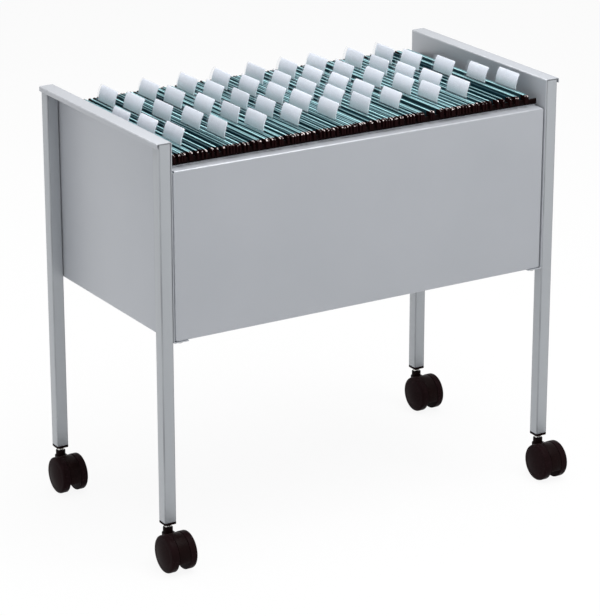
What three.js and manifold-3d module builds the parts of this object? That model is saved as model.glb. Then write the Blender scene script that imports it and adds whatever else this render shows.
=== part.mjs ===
// Mobile file cart: a folded steel bin on four square legs with twin-wheel casters,
// holding a full row of hanging files. Millimetres, +Z up, the front faces -Y.
import * as THREE from "three";
import { mergeVertices } from "three/addons/utils/BufferGeometryUtils.js";
import Module from "manifold-3d";

const wasm = await Module();
wasm.setup();

// Frame and sheet sizes
const WIDTH = 717; // across the outsides of the legs
const DEPTH = 382; // front to back over the legs
const LEG_SIDE = 20;
const LEG_WALL = 1.5;
const LEG_CORNER = 2; // outer radius of the tube's corners
const LEG_LENGTH = 600;
const SHEET = 1.5;
const BEND_INNER = 0.7; // inner radius of every fold
const LIP_GAP = 1.8; // between the cap's lip and the legs
const LIP_DROP = 8;
const FOOT_FLANGE = 26; // inward fold along an end panel's bottom
const FIT = 0.3; // gap between pieces that touch

// Bin sizes
const BIN_DROP = 46; // from the end panels' top to the long panels' top edge
const PANEL_HEIGHT = 266;
const PANEL_SETBACK = 1; // long panel's face behind the legs' faces
const PANEL_END_GAP = 2.2; // shadow gap between a long panel and an end panel
const TOP_FLANGE = 22;
const HANG_RISE = 11; // hanging rail, with its strip, above the top flange
const STRIP_WALL = 1; // black strip clipped over the rail's edge
const STRIP_HEIGHT = 8.3;
const BOTTOM_RETURN = 20;
const SIDE_RETURN = 14;
const TRAY_BEARING = 5.5; // how far the tray lies on the bottom returns
const TRAY_SIDE_GAP = 1.5;
const TRAY_RIM = 12;

// Screw sizes
const SCREW_RADIUS = 2.5;
const SCREW_HEAD_RADIUS = 4.5;
const SCREW_HEAD = 2.6;
const SCREW_END = 3; // thread showing above the bottom return

// Caster sizes
const WHEEL_RADIUS = 30;
const WHEEL_WIDTH = 15.2;
const WHEEL_EDGE = 4.5; // rounding from the tread to the hub face
const WHEEL_DOME = 3; // how far the hub face bulges beyond the rim
const WHEEL_CAP = 5; // material over the axle's end
const WHEEL_INNER_EDGE = 3.5; // rounding from the tread to the hood's side
const AXLE_RADIUS = 3;
const CASTER_TRAIL = 25; // axle ahead of the swivel axis
const HOOD_WIDTH = 18.6;
const HOOD_INSET = 1; // hood's curve inside the wheels' treads
const HOOD_SIDE_GAP = 0.5;
const HOOD_SHELL = 6;
const HOOD_START_ANGLE = 54; // where the hood leaves the neck, counted from straight back over the top
const HOOD_END_ANGLE = 200;
const NECK_STEP = 1.55; // neck's radius inside the hood's sides
const NECK_RISE = 2.5; // neck above the wheels' tops
const STEM_RADIUS = 4;
const STEM_DEPTH = 20; // stem inside the neck
const STEM_SHOWN = 5.7; // bare stem between neck and plug
const COLLAR_STEP = 1.6; // collar's radius beyond the stem's
const COLLAR_HEIGHT = 2.6;
const PLUG_RIM = 4;
const PLUG_DEPTH = 25;
const PLUG_ROOF = 3; // material over the stem's end

// Hanging file sizes
const SLIM_FILE = 10.5; // room in the row, before it is fitted to the bin
const MIDDLING_FILE = 13.5;
const THICK_FILE = 18.5;
const WIDE_FILE = 25.5;
const FILE_ROOM = { s: SLIM_FILE, m: MIDDLING_FILE, t: THICK_FILE, w: WIDE_FILE };
const PACKS = "mmmm ttss mtms mmms sstm smss smms sssm smtt ssss smms wwtt".split(" "); // files from the left
const ROW_END_GAP = 10.7; // free space at each end of the row
const PACK_GAP = 0.6;
const BAR_THICK = 2;
const BAR_HEIGHT = 9;
const BAR_SINK = 1.5; // bar held inside the card
const NOTCH_GAP = 3;
const HOOK_TIP = 4.5;
const HOOK_FLOOR_GAP = 7; // hook tips above the top flange
const CARD_GAP = 5.5; // card's end inside the hanging rail
const FILE_FLOOR_GAP = 18; // pockets above the tray's rim
const FOLD_RISE = 22; // height over which a pocket narrows to its bottom fold
const TAB_PLACES = 5;
const TAB_FIRST_PLACE = 2; // place of the leftmost file's tab, counted from the back
const TAB_END_GAP = 14;
const TAB_GAP = 0.7;
const TAB_HEIGHT = 28;
const TAB_THICK = 1;
const TAB_LEAN = 7;
const TAB_ROOT = 2; // tab overlapping its bar

// Facets
const ROUND = 24;
const BEND_STEPS = 2;
const CORNER_STEPS = 2;
const EDGE_STEPS = 3;
const HOOD_STEPS = 14;
const FACET = Math.cos(Math.PI / ROUND); // flat of a facet over its corner

// Heights and places worked out from the sizes
const hoodRadius = WHEEL_RADIUS - HOOD_INSET;
const neckRadius = HOOD_WIDTH / 2 - NECK_STEP;
const neckTop = 2 * WHEEL_RADIUS + NECK_RISE;
const legFoot = neckTop + STEM_SHOWN + PLUG_RIM + FIT;
const legInnerCorner = Math.max(LEG_CORNER - LEG_WALL, FIT);
const railTop = legFoot + LEG_LENGTH + BEND_INNER + SHEET; // the legs stop below the cap's inner fold
const binTop = railTop - BIN_DROP;
const binBottom = binTop - PANEL_HEIGHT;
const hangTop = binTop + HANG_RISE;
const railEdge = hangTop - STRIP_WALL - FIT;
const legX = WIDTH / 2 - LEG_SIDE / 2;
const legY = DEPTH / 2 - LEG_SIDE / 2;
const webOuter = WIDTH / 2 - LEG_SIDE - FIT;
const webInner = webOuter - SHEET;
const panelFace = DEPTH / 2 - PANEL_SETBACK;
const panelHalf = webInner - PANEL_END_GAP;
const hangFace = panelFace - TOP_FLANGE;
const lipOuter = WIDTH / 2 + LIP_GAP + SHEET;
const bendOuter = BEND_INNER + SHEET;
const trayBottom = binBottom + SHEET + FIT;
const trayRimTop = trayBottom + TRAY_RIM;
const rowLength = 2 * webInner - 2 * ROW_END_GAP;
const packRooms = PACKS.map((pack) => [...pack].map((letter) => FILE_ROOM[letter]));
const rowRoom = packRooms.flat().reduce((sum, room) => sum + room);
const barBottom = hangTop + FIT;
const barTop = barBottom + BAR_HEIGHT;
const pocketBottom = trayRimTop + FILE_FLOOR_GAP;
const cardHalf = hangFace - SHEET - CARD_GAP;
const footprintShift = (CASTER_TRAIL + WHEEL_RADIUS - LEG_SIDE / 2) / 2; // middles the casters' reach

// Finishes
const silverPaint = new THREE.MeshStandardMaterial({ color: 0xa9adb2, roughness: 0.45, metalness: 0.3 });
const blackPlastic = new THREE.MeshStandardMaterial({ color: 0x1a1616, roughness: 0.5, metalness: 0 });
const brightSteel = new THREE.MeshStandardMaterial({ color: 0xc8c8c8, roughness: 0.25, metalness: 1 });
const tealCard = new THREE.MeshStandardMaterial({ color: 0x6fb0b2, roughness: 0.8, metalness: 0 });

// A closed geometry as a solid that can be joined and cut, with its faces turned outwards.
function solid(geometry) {
  const bare = geometry.clone();
  bare.deleteAttribute("normal");
  bare.deleteAttribute("uv");
  const merged = mergeVertices(bare, 1e-4);
  const corners = merged.index.array;
  const kept = [];
  for (let i = 0; i < corners.length; i += 3) {
    const [a, b, c] = corners.slice(i, i + 3);
    if (a !== b && b !== c && c !== a) {
      kept.push(a, b, c);
    }
  }
  const vertProperties = merged.attributes.position.array;
  const close = (order) => {
    const triVerts = new Uint32Array(order);
    return new wasm.Manifold(new wasm.Mesh({ numProp: 3, vertProperties, triVerts }));
  };
  const made = close(kept);
  return made.volume() > 0 ? made : close(kept.reverse());
}

// A named mesh from a finished solid.
function piece(name, body, material) {
  const mesh = body.getMesh();
  const geometry = new THREE.BufferGeometry();
  geometry.setAttribute("position", new THREE.BufferAttribute(mesh.vertProperties, 3));
  geometry.setIndex(new THREE.BufferAttribute(mesh.triVerts, 1));
  const made = new THREE.Mesh(geometry, material);
  made.name = name;
  return made;
}

// A box between two corners.
function box(low, high) {
  const size = high.map((value, i) => value - low[i]);
  const middle = high.map((value, i) => (value + low[i]) / 2);
  return solid(new THREE.BoxGeometry(...size).translate(...middle));
}

const AXIS_X = new THREE.Vector3(1, 0, 0);
const AXIS_Y = new THREE.Vector3(0, 1, 0);
const AXIS_Z = new THREE.Vector3(0, 0, 1);

// The directions that an outline's own x, its own y and its depth take.
const PLANES = {
  xy: new THREE.Matrix4(),
  yz: new THREE.Matrix4().makeBasis(AXIS_Y, AXIS_Z, AXIS_X),
  xz: new THREE.Matrix4().makeBasis(AXIS_X, AXIS_Z, AXIS_Y.clone().negate()),
};

// An outline in a plane, given its depth across that plane, centred on the plane.
function prism(shape, depth, plane) {
  const options = { depth, bevelEnabled: false, curveSegments: CORNER_STEPS };
  const geometry = new THREE.ExtrudeGeometry(shape, options);
  geometry.translate(0, 0, -depth / 2);
  return solid(geometry.applyMatrix4(PLANES[plane]));
}

function outline(points) {
  return new THREE.Shape(points.map(([x, y]) => new THREE.Vector2(x, y)));
}

// A turned body: profile points are [radius, place along the axis], with flats at the radius.
function turned(profile, axis) {
  const points = profile.map(([radius, along]) => new THREE.Vector2(radius / FACET, along));
  const geometry = new THREE.LatheGeometry(points, ROUND, Math.PI / ROUND);
  const turn = new THREE.Quaternion().setFromUnitVectors(AXIS_Y, axis);
  return solid(geometry.applyQuaternion(turn));
}

function rod(radius, low, high, axis) {
  return turned([[0, low], [radius, low], [radius, high], [0, high]], axis);
}

// The outline of a folded sheet from the corners of its middle line, every fold a right angle.
function foldedSheet(corners) {
  const path = corners.map(([x, y]) => new THREE.Vector2(x, y));
  const left = [];
  const right = [];
  path.forEach((corner, i) => {
    const before = path[i - 1] ?? corner;
    const after = path[i + 1] ?? corner;
    if (before === corner || after === corner) {
      const along = after.clone().sub(before).normalize();
      const across = new THREE.Vector2(-along.y, along.x).multiplyScalar(SHEET / 2);
      left.push(corner.clone().add(across));
      right.push(corner.clone().sub(across));
      return;
    }
    const arriving = corner.clone().sub(before).normalize();
    const leaving = after.clone().sub(corner).normalize();
    const middle = BEND_INNER + SHEET / 2;
    const centre = corner.clone().addScaledVector(leaving, middle).addScaledVector(arriving, -middle);
    const [outer, inner] = arriving.cross(leaving) > 0 ? [right, left] : [left, right];
    for (let step = 0; step <= BEND_STEPS; step++) {
      const angle = (step / BEND_STEPS) * (Math.PI / 2);
      const spoke = leaving.clone().multiplyScalar(-Math.cos(angle));
      spoke.addScaledVector(arriving, Math.sin(angle));
      outer.push(centre.clone().addScaledVector(spoke, bendOuter));
      inner.push(centre.clone().addScaledVector(spoke, BEND_INNER));
    }
  });
  return new THREE.Shape([...right, ...left.reverse()]);
}

// A square with round corners, centred, as a shape or as the path of a hole.
function roundedSquare(side, radius, target) {
  const reach = side / 2 - radius;
  const corners = [[reach, reach], [-reach, reach], [-reach, -reach], [reach, -reach]];
  corners.forEach(([x, y], i) => {
    target.absarc(x, y, radius, (i * Math.PI) / 2, ((i + 1) * Math.PI) / 2, false);
  });
  return target;
}

// Square tube leg, standing on its plug.
function makeLeg() {
  const section = roundedSquare(LEG_SIDE, LEG_CORNER, new THREE.Shape());
  section.holes.push(roundedSquare(LEG_SIDE - 2 * LEG_WALL, legInnerCorner, new THREE.Path()));
  return prism(section, LEG_LENGTH, "xy").translate([0, 0, legFoot + LEG_LENGTH / 2]);
}

// Where the screws join a long panel's bottom return to an end panel's foot flange.
const screwX = webInner - FOOT_FLANGE / 2;
const screwY = panelFace - (BOTTOM_RETURN - TRAY_BEARING) / 2;

function screwHole(x, y) {
  const low = binBottom - SHEET - SCREW_HEAD;
  const high = binBottom + SHEET + SCREW_END;
  return rod(SCREW_RADIUS + FIT, low, high, AXIS_Z).translate([x, y, 0]);
}

// End panel for the right side: lip outside the legs, cap over their tops, web inside them, foot flange.
function makeEndPanel() {
  const lip = lipOuter - SHEET / 2;
  const cap = railTop - SHEET / 2;
  const web = webOuter - SHEET / 2;
  const foot = binBottom - FIT - SHEET / 2;
  const section = foldedSheet([
    [lip, railTop - LIP_DROP],
    [lip, cap],
    [web, cap],
    [web, foot],
    [webOuter - FOOT_FLANGE, foot],
  ]);
  return prism(section, DEPTH, "xz").subtract(screwHole(screwX, screwY)).subtract(screwHole(screwX, -screwY));
}

// Long panel for the back: hanging rail, top flange, face and bottom return, with side returns.
function makeLongPanel() {
  const rail = hangFace - SHEET / 2;
  const top = binTop - SHEET / 2;
  const face = panelFace - SHEET / 2;
  const bottom = binBottom + SHEET / 2;
  const section = foldedSheet([
    [rail, railEdge],
    [rail, top],
    [face, top],
    [face, bottom],
    [panelFace - BOTTOM_RETURN, bottom],
  ]);
  const sideLow = [panelHalf - SHEET, panelFace - SIDE_RETURN, binBottom + bendOuter];
  const sideHigh = [panelHalf, panelFace - SHEET / 2, binTop - bendOuter];
  const rightReturn = box(sideLow, sideHigh);
  const railReach = webInner - FIT; // the rail's ends seat against the end panels
  const wholeRail = box([-railReach, hangFace - SHEET, binTop], [railReach, hangFace, railEdge]);
  return prism(section, 2 * panelHalf, "yz")
    .add(rightReturn)
    .add(rightReturn.mirror([1, 0, 0]))
    .add(wholeRail)
    .subtract(screwHole(screwX, screwY))
    .subtract(screwHole(-screwX, screwY));
}

// Strip over the rear rail's edge, which the hooks hang on: two thin legs and a top with bevelled edges.
function makeRailStrip() {
  const inner = hangFace - SHEET - FIT - STRIP_WALL;
  const outer = hangFace + FIT + STRIP_WALL;
  const bottom = hangTop - STRIP_HEIGHT;
  const slotTop = hangTop - STRIP_WALL;
  const bevel = STRIP_WALL / 2;
  const section = outline([
    [inner, bottom],
    [inner + STRIP_WALL, bottom],
    [inner + STRIP_WALL, slotTop],
    [outer - STRIP_WALL, slotTop],
    [outer - STRIP_WALL, bottom],
    [outer, bottom],
    [outer, hangTop - bevel],
    [outer - bevel, hangTop],
    [inner + bevel, hangTop],
    [inner, hangTop - bevel],
  ]);
  return prism(section, 2 * panelHalf, "yz");
}

// Loose base tray lying on the two bottom returns.
function makeTray() {
  const halfX = webInner - TRAY_SIDE_GAP;
  const halfY = panelFace - BOTTOM_RETURN + TRAY_BEARING;
  const whole = box([-halfX, -halfY, trayBottom], [halfX, halfY, trayRimTop]);
  const inside = box(
    [-halfX + SHEET, -halfY + SHEET, trayBottom + SHEET],
    [halfX - SHEET, halfY - SHEET, trayRimTop + SHEET],
  );
  return whole.subtract(inside);
}

// Screw from below, its head under the foot flange.
function makeScrew() {
  const seat = binBottom - 2 * FIT - SHEET;
  const tip = binBottom + SHEET + SCREW_END;
  const head = seat - SCREW_HEAD;
  return turned(
    [
      [0, head],
      [SCREW_HEAD_RADIUS, head],
      [SCREW_HEAD_RADIUS, seat],
      [SCREW_RADIUS, seat],
      [SCREW_RADIUS, tip],
      [0, tip],
    ],
    AXIS_Z,
  );
}

// Plug in the leg's end: square rim, spigot in the tube, socket for the stem.
function makePlug() {
  const rimBottom = legFoot - FIT - PLUG_RIM;
  const rimTop = legFoot - FIT;
  const spigotTop = legFoot + PLUG_DEPTH;
  const spigotSide = LEG_SIDE - 2 * LEG_WALL - 2 * FIT;
  const rim = roundedSquare(LEG_SIDE, LEG_CORNER, new THREE.Shape());
  const spigot = roundedSquare(spigotSide, legInnerCorner, new THREE.Shape());
  return prism(rim, PLUG_RIM, "xy")
    .translate([0, 0, (rimBottom + rimTop) / 2])
    .add(prism(spigot, spigotTop - rimBottom, "xy").translate([0, 0, (rimBottom + spigotTop) / 2]))
    .subtract(rod(STEM_RADIUS + FIT, rimBottom - FIT, spigotTop - PLUG_ROOF, AXIS_Z));
}

// Steel stem with a collar, held in the plug and turning in the neck.
function makeStem() {
  const low = neckTop - STEM_DEPTH + FIT;
  const collar = neckTop + FIT;
  const collarRadius = STEM_RADIUS + COLLAR_STEP;
  const high = legFoot + PLUG_DEPTH - PLUG_ROOF - FIT;
  return turned(
    [
      [0, low],
      [STEM_RADIUS, low],
      [STEM_RADIUS, collar],
      [collarRadius, collar],
      [collarRadius, collar + COLLAR_HEIGHT],
      [STEM_RADIUS, collar + COLLAR_HEIGHT],
      [STEM_RADIUS, high],
      [0, high],
    ],
    AXIS_Z,
  );
}

// A point on a circle round the axle, with the angle counted from straight back over the top.
function roundAxle(radius, degrees) {
  const angle = THREE.MathUtils.degToRad(degrees);
  return [-CASTER_TRAIL + radius * Math.cos(angle), WHEEL_RADIUS + radius * Math.sin(angle)];
}

// Hood between the wheels: curved over the top and front, straight underneath, with a neck for the stem.
function makeHood() {
  const neckFoot = neckTop - STEM_DEPTH - HOOD_SHELL;
  const sweep = HOOD_END_ANGLE - HOOD_START_ANGLE;
  const crown = [];
  for (let step = 0; step <= HOOD_STEPS; step++) {
    crown.push(roundAxle(hoodRadius, HOOD_START_ANGLE + (sweep * step) / HOOD_STEPS));
  }
  const shoulder = crown[0][1];
  const frontLip = roundAxle(hoodRadius - HOOD_SHELL, HOOD_END_ANGLE);
  const side = outline([[neckRadius, neckFoot], [neckRadius, shoulder], ...crown, frontLip]);
  const axleBore = rod(AXLE_RADIUS + FIT, -HOOD_WIDTH, HOOD_WIDTH, AXIS_X);
  const axleBoss = rod(AXLE_RADIUS + HOOD_SHELL, -HOOD_WIDTH / 2, HOOD_WIDTH / 2, AXIS_X);
  return prism(side, HOOD_WIDTH, "yz")
    .add(axleBoss.translate([0, -CASTER_TRAIL, WHEEL_RADIUS]))
    .add(rod(neckRadius, neckFoot, neckTop, AXIS_Z))
    .subtract(rod(STEM_RADIUS + FIT, neckTop - STEM_DEPTH, neckTop + FIT, AXIS_Z))
    .subtract(axleBore.translate([0, -CASTER_TRAIL, WHEEL_RADIUS]));
}

// Points of a quarter round in a wheel's profile, from the side face to the tread.
function treadRound(radius, face, way) {
  const points = [];
  for (let step = 0; step <= EDGE_STEPS; step++) {
    const angle = (step / EDGE_STEPS) * (Math.PI / 2);
    const drop = radius * (1 - Math.sin(angle));
    points.push([WHEEL_RADIUS - drop, face + way * radius * (1 - Math.cos(angle))]);
  }
  return points;
}

// Wheel for the right side: domed closed hub face outside, rounded tread, blind bore inside.
function makeWheel() {
  const inner = HOOD_WIDTH / 2 + HOOD_SIDE_GAP;
  const outer = inner + WHEEL_WIDTH;
  const bore = AXLE_RADIUS + FIT;
  return turned(
    [
      [0, outer],
      [WHEEL_RADIUS / 2, outer - WHEEL_DOME / 4],
      ...treadRound(WHEEL_EDGE, outer - WHEEL_DOME, -1),
      ...treadRound(WHEEL_INNER_EDGE, inner, 1).reverse(),
      [bore, inner],
      [bore, outer - WHEEL_CAP],
      [0, outer - WHEEL_CAP],
    ],
    AXIS_X,
  ).translate([0, -CASTER_TRAIL, WHEEL_RADIUS]);
}

function makeAxle() {
  const reach = HOOD_WIDTH / 2 + HOOD_SIDE_GAP + WHEEL_WIDTH - WHEEL_CAP - FIT;
  return rod(AXLE_RADIUS, -reach, reach, AXIS_X).translate([0, -CASTER_TRAIL, WHEEL_RADIUS]);
}

// One flat bar of a hanging file, with a hook over the rail at each end.
function makeBar() {
  const notch = hangFace + NOTCH_GAP;
  const end = notch + HOOK_TIP;
  const tip = binTop + HOOK_FLOOR_GAP;
  const side = outline([
    [-end, tip],
    [-notch, tip],
    [-notch, barBottom],
    [notch, barBottom],
    [notch, tip],
    [end, tip],
    [end, barTop],
    [-end, barTop],
  ]);
  return prism(side, BAR_THICK, "yz");
}

// Leaning index tab on its own file, at one of the places along the bar.
function makeTab(place) {
  const space = (2 * cardHalf - 2 * TAB_END_GAP) / TAB_PLACES;
  const root = barTop - TAB_ROOT;
  const tip = barTop + TAB_HEIGHT;
  const section = outline([
    [-TAB_THICK / 2, root],
    [TAB_THICK / 2, root],
    [TAB_THICK / 2 + TAB_LEAN, tip],
    [-TAB_THICK / 2 + TAB_LEAN, tip],
  ]);
  const middle = ((TAB_PLACES - 1) / 2 - place) * space;
  return prism(section, space - TAB_GAP, "xz").translate([0, middle, 0]);
}

// A pack of neighbouring files, each with its start and width in the row, whose full pockets press together.
function makePack(members, first) {
  const last = members[members.length - 1];
  const left = members[0].start + PACK_GAP / 2;
  const right = last.start + last.width - PACK_GAP / 2;
  const foldTop = pocketBottom + FOLD_RISE;
  const folds = members.flatMap(({ start, width }) => [
    [Math.max(start, left), foldTop],
    [start + width / 4, pocketBottom],
    [start + (3 * width) / 4, pocketBottom],
  ]);
  const pocketTop = barBottom + BAR_SINK;
  const pockets = outline([...folds, [right, foldTop], [right, pocketTop], [left, pocketTop]]);
  let pack = prism(pockets, 2 * cardHalf, "xz");
  const bar = makeBar();
  members.forEach(({ start, width }, file) => {
    const place = (first + file + TAB_FIRST_PLACE) % TAB_PLACES;
    pack = pack
      .add(bar.translate([start + width / 4, 0, 0]))
      .add(bar.translate([start + (3 * width) / 4, 0, 0]))
      .add(makeTab(place).translate([start + width / 4, 0, 0]));
  });
  return pack;
}

const cart = new THREE.Group();
cart.position.y = footprintShift;

const leg = makeLeg();
const plug = makePlug();
const stem = makeStem();
const hood = makeHood();
const axle = makeAxle();
const wheel = makeWheel();
const screw = makeScrew();

const CORNERS = [
  { name: "front_left", x: -1, y: -1 },
  { name: "front_right", x: 1, y: -1 },
  { name: "rear_left", x: -1, y: 1 },
  { name: "rear_right", x: 1, y: 1 },
];

for (const corner of CORNERS) {
  const post = new THREE.Group();
  post.position.set(corner.x * legX, corner.y * legY, 0);
  post.add(
    piece(`leg_${corner.name}`, leg, silverPaint),
    piece(`leg_plug_${corner.name}`, plug, blackPlastic),
    piece(`caster_stem_${corner.name}`, stem, brightSteel),
    piece(`caster_hood_${corner.name}`, hood, blackPlastic),
    piece(`caster_axle_${corner.name}`, axle, brightSteel),
    piece(`caster_wheel_left_${corner.name}`, wheel.mirror([1, 0, 0]), blackPlastic),
    piece(`caster_wheel_right_${corner.name}`, wheel, blackPlastic),
  );
  cart.add(post);
  const fastener = piece(`panel_screw_${corner.name}`, screw, brightSteel);
  fastener.position.set(corner.x * screwX, corner.y * screwY, 0);
  cart.add(fastener);
}

const endPanel = makeEndPanel();
const longPanel = makeLongPanel();
const railStrip = makeRailStrip();
cart.add(
  piece("end_panel_right", endPanel, silverPaint),
  piece("end_panel_left", endPanel.mirror([1, 0, 0]), silverPaint),
  piece("rear_panel", longPanel, silverPaint),
  piece("front_panel", longPanel.mirror([0, 1, 0]), silverPaint),
  piece("rail_strip_rear", railStrip, blackPlastic),
  piece("rail_strip_front", railStrip.mirror([0, 1, 0]), blackPlastic),
  piece("base_tray", makeTray(), silverPaint),
);

let fileStart = -rowLength / 2;
let fileCount = 0;
packRooms.forEach((rooms, pack) => {
  const members = rooms.map((room) => {
    const width = (room / rowRoom) * rowLength;
    const start = fileStart;
    fileStart += width;
    return { start, width };
  });
  cart.add(piece(`file_pack_${pack + 1}`, makePack(members, fileCount), tealCard));
  fileCount += members.length;
});

export default cart;
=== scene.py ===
"""Dress the mobile file cart: painted sheet steel, black casters and a row of hanging files."""

import logging
import math
import random
from collections.abc import Iterable, Sequence
from dataclasses import dataclass, field
from enum import Enum
from typing import ClassVar

import bmesh
import bpy
from bmesh.types import BMEdge, BMFace, BMLayerItem, BMVert
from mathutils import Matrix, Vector


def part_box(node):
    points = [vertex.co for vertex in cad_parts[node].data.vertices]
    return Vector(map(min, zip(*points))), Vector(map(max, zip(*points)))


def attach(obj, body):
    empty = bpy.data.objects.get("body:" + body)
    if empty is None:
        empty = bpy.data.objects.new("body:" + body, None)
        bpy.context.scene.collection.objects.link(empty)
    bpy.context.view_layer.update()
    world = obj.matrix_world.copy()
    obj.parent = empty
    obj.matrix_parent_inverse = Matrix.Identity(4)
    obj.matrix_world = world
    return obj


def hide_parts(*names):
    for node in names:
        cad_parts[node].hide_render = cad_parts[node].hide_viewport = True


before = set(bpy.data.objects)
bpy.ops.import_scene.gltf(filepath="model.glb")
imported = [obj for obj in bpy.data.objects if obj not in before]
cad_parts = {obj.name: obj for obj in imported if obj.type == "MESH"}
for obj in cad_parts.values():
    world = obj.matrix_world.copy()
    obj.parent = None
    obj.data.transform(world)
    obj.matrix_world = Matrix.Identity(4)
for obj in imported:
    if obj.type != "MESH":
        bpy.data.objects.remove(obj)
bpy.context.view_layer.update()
LOG = logging.getLogger("file_cart")
MM = 0.001
FULL_TURN = 2.0 * math.pi
X_AXIS = Vector((1.0, 0.0, 0.0))
Y_AXIS = Vector((0.0, 1.0, 0.0))
Z_AXIS = Vector((0.0, 0.0, 1.0))

Colour = tuple[float, float, float, float]


class Side(Enum):
    """The cart's two ends, with the way each faces along X."""

    LEFT = -1
    RIGHT = 1


class Facing(Enum):
    """The cart's two long sides, with the way each faces along Y."""

    FRONT = -1
    REAR = 1


class Corner(Enum):
    """The four legs, by the name that their nodes end in."""

    FRONT_LEFT = "front_left"
    FRONT_RIGHT = "front_right"
    REAR_LEFT = "rear_left"
    REAR_RIGHT = "rear_right"


class Fill(Enum):
    """How full a file is, slim, middling, thick or wide, with its part of the row."""

    S = 10.5
    M = 13.5
    T = 18.5
    W = 25.5


def srgb(code: str) -> Colour:
    """Turn a screen colour into the linear colour that a shader takes.

    Args:
        code: Six hexadecimal digits after a hash sign.

    Returns:
        The linear colour with full alpha.
    """
    parts = [int(code[i : i + 2], 16) / 255.0 for i in (1, 3, 5)]
    linear = [p / 12.92 if p <= 0.04045 else ((p + 0.055) / 1.055) ** 2.4 for p in parts]
    return (linear[0], linear[1], linear[2], 1.0)


class Wire:
    """A node's output that takes part in Python sums, each adding one Math node."""

    def __init__(self, tree: bpy.types.NodeTree, socket: bpy.types.NodeSocket) -> None:
        """Keep the tree and the output socket."""
        self.tree = tree
        self.socket = socket

    def _math(self, operation: str, first: "Operand", second: "Operand") -> "Wire":
        """Add a Math node.

        Args:
            operation: The Math node's operation.
            first: Its first operand.
            second: Its second operand.

        Returns:
            The node's output.
        """
        node = self.tree.nodes.new("ShaderNodeMath")
        node.operation = operation
        for socket, value in zip(node.inputs, (first, second)):
            feed(self.tree, socket, value)
        return Wire(self.tree, node.outputs[0])

    def __add__(self, other: "Operand") -> "Wire":
        """Add."""
        return self._math("ADD", self, other)

    def __radd__(self, other: "Operand") -> "Wire":
        """Add, with the number first."""
        return self._math("ADD", other, self)

    def __sub__(self, other: "Operand") -> "Wire":
        """Subtract."""
        return self._math("SUBTRACT", self, other)

    def __rsub__(self, other: "Operand") -> "Wire":
        """Subtract from a number."""
        return self._math("SUBTRACT", other, self)

    def __mul__(self, other: "Operand") -> "Wire":
        """Multiply."""
        return self._math("MULTIPLY", self, other)

    def __rmul__(self, other: "Operand") -> "Wire":
        """Multiply, with the number first."""
        return self._math("MULTIPLY", other, self)


Operand = Wire | float


def feed(tree: bpy.types.NodeTree, socket: bpy.types.NodeSocket, value: object) -> None:
    """Link a wire to a socket, or set the socket to a plain value.

    Args:
        tree: The tree that holds the socket.
        socket: The input to feed.
        value: A wire, a number, a colour or a vector.
    """
    if isinstance(value, Wire):
        tree.links.new(value.socket, socket)
    else:
        socket.default_value = value


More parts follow.
